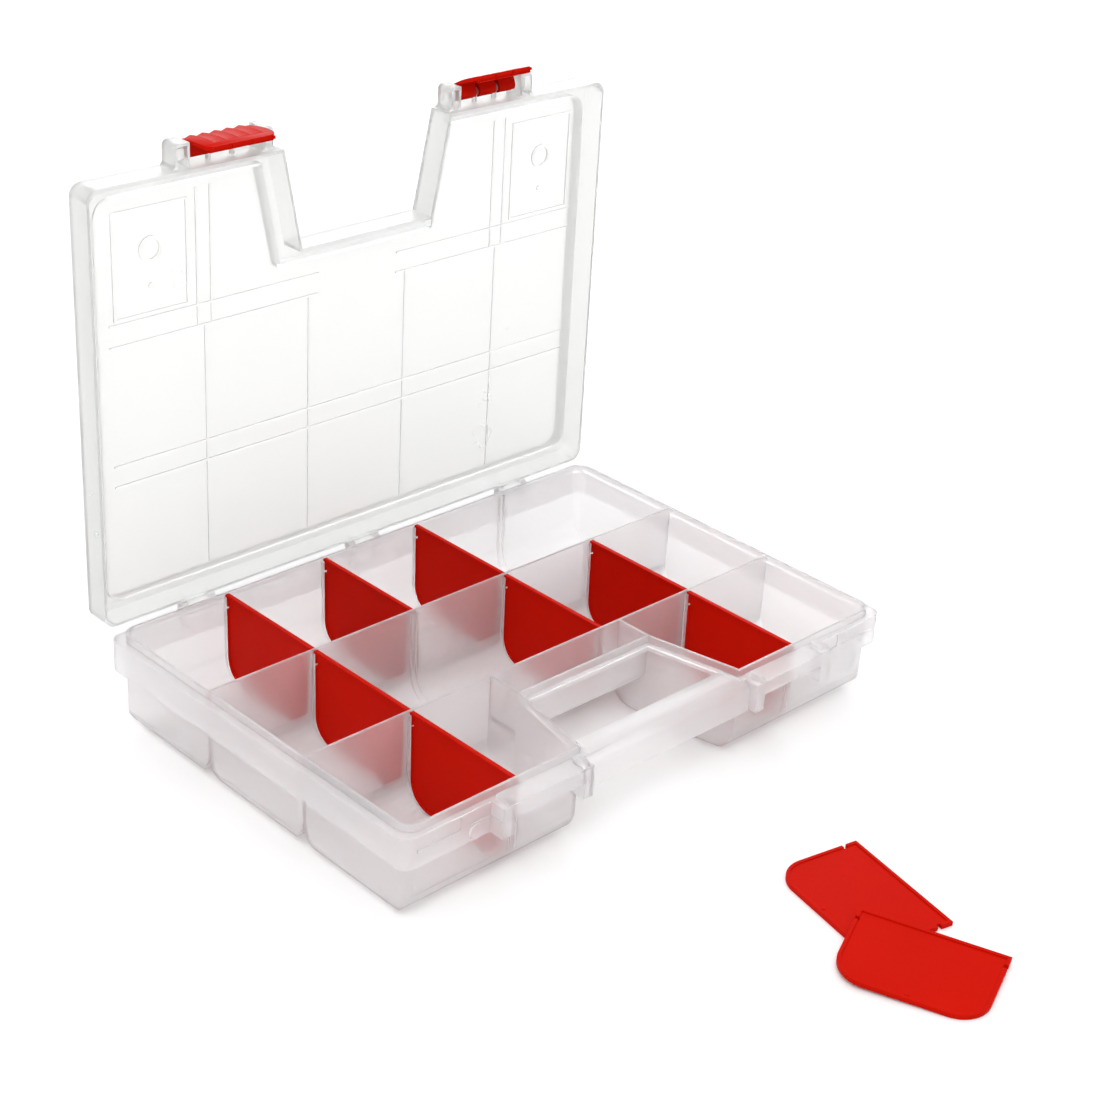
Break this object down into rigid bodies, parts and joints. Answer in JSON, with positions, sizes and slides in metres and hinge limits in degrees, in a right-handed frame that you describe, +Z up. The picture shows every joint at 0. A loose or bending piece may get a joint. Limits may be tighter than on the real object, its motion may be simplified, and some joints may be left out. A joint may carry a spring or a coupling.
{
  "type": "parts organizer",
  "caption": "Clear hinged compartment case with round-bottomed rows, lift-out red dividers, a handle across a front notch and snap latches.",
  "frame": {"origin": "centre of the tray's resting face, in the middle of the case", "axes": "+X to the right seen from the handle, +Y towards the hinge, +Z up"},
  "size_m": [0.361, 0.4904, 0.3253],
  "materials": {
    "clear_polypropylene": "translucent frosted, slightly glossy",
    "red_latch": "semi-gloss moulded",
    "red_divider": "semi-gloss moulded"
  },
  "bodies": {
    "tray": {"base_tray": "clear_polypropylene"},
    "lid": {"lid": "clear_polypropylene"},
    "latch_left": {"latch_left": "red_latch"},
    "latch_right": {"latch_right": "red_latch"},
    "divider_back_1": {"divider_back_1": "red_divider"},
    "divider_back_2": {"divider_back_2": "red_divider"},
    "divider_back_3": {"divider_back_3": "red_divider"},
    "divider_middle_1": {"divider_middle_1": "red_divider"},
    "divider_middle_3": {"divider_middle_3": "red_divider"},
    "divider_middle_4": {"divider_middle_4": "red_divider"},
    "divider_front_1": {"divider_front_1": "red_divider"},
    "divider_front_4": {"divider_front_4": "red_divider"},
    "divider_loose_lower": {"divider_loose_lower": "red_divider"},
    "divider_loose_upper": {"divider_loose_upper": "red_divider"}
  },
  "joints": [
    {"name": "lid_hinge", "type": "hinge", "parent": "tray", "child": "lid", "pos_m": [0, 0.127, 0.05365], "axis": [-1, 0, 0], "range_deg": [-90, 0]},
    {"name": "latch_left_pivot", "type": "hinge", "parent": "lid", "child": "latch_left", "pos_m": [-0.0925, 0.13635, 0.31115], "axis": [-1, 0, 0], "range_deg": [-5, 90]},
    {"name": "latch_right_pivot", "type": "hinge", "parent": "lid", "child": "latch_right", "pos_m": [0.0925, 0.13635, 0.31115], "axis": [-1, 0, 0], "range_deg": [-27, 68]},
    {"name": "divider_back_1_lift", "type": "slide", "parent": "tray", "child": "divider_back_1", "axis": [0, 0, 1], "range_m": [0, 0.06]},
    {"name": "divider_back_2_lift", "type": "slide", "parent": "tray", "child": "divider_back_2", "axis": [0, 0, 1], "range_m": [0, 0.06]},
    {"name": "divider_back_3_lift", "type": "slide", "parent": "tray", "child": "divider_back_3", "axis": [0, 0, 1], "range_m": [0, 0.06]},
    {"name": "divider_middle_1_lift", "type": "slide", "parent": "tray", "child": "divider_middle_1", "axis": [0, 0, 1], "range_m": [0, 0.06]},
    {"name": "divider_middle_3_lift", "type": "slide", "parent": "tray", "child": "divider_middle_3", "axis": [0, 0, 1], "range_m": [0, 0.06]},
    {"name": "divider_middle_4_lift", "type": "slide", "parent": "tray", "child": "divider_middle_4", "axis": [0, 0, 1], "range_m": [0, 0.06]},
    {"name": "divider_front_1_lift", "type": "slide", "parent": "tray", "child": "divider_front_1", "axis": [0, 0, 1], "range_m": [0, 0.06]},
    {"name": "divider_front_4_lift", "type": "slide", "parent": "tray", "child": "divider_front_4", "axis": [0, 0, 1], "range_m": [0, 0.06]},
    {"name": "divider_loose_lower_lift", "type": "slide", "parent": "tray", "child": "divider_loose_lower", "axis": [0, 0, 1], "range_m": [0, 0.06]},
    {"name": "divider_loose_upper_lift", "type": "slide", "parent": "divider_loose_lower", "child": "divider_loose_upper", "axis": [0, 0, 1], "range_m": [0, 0.06]}
  ]
}
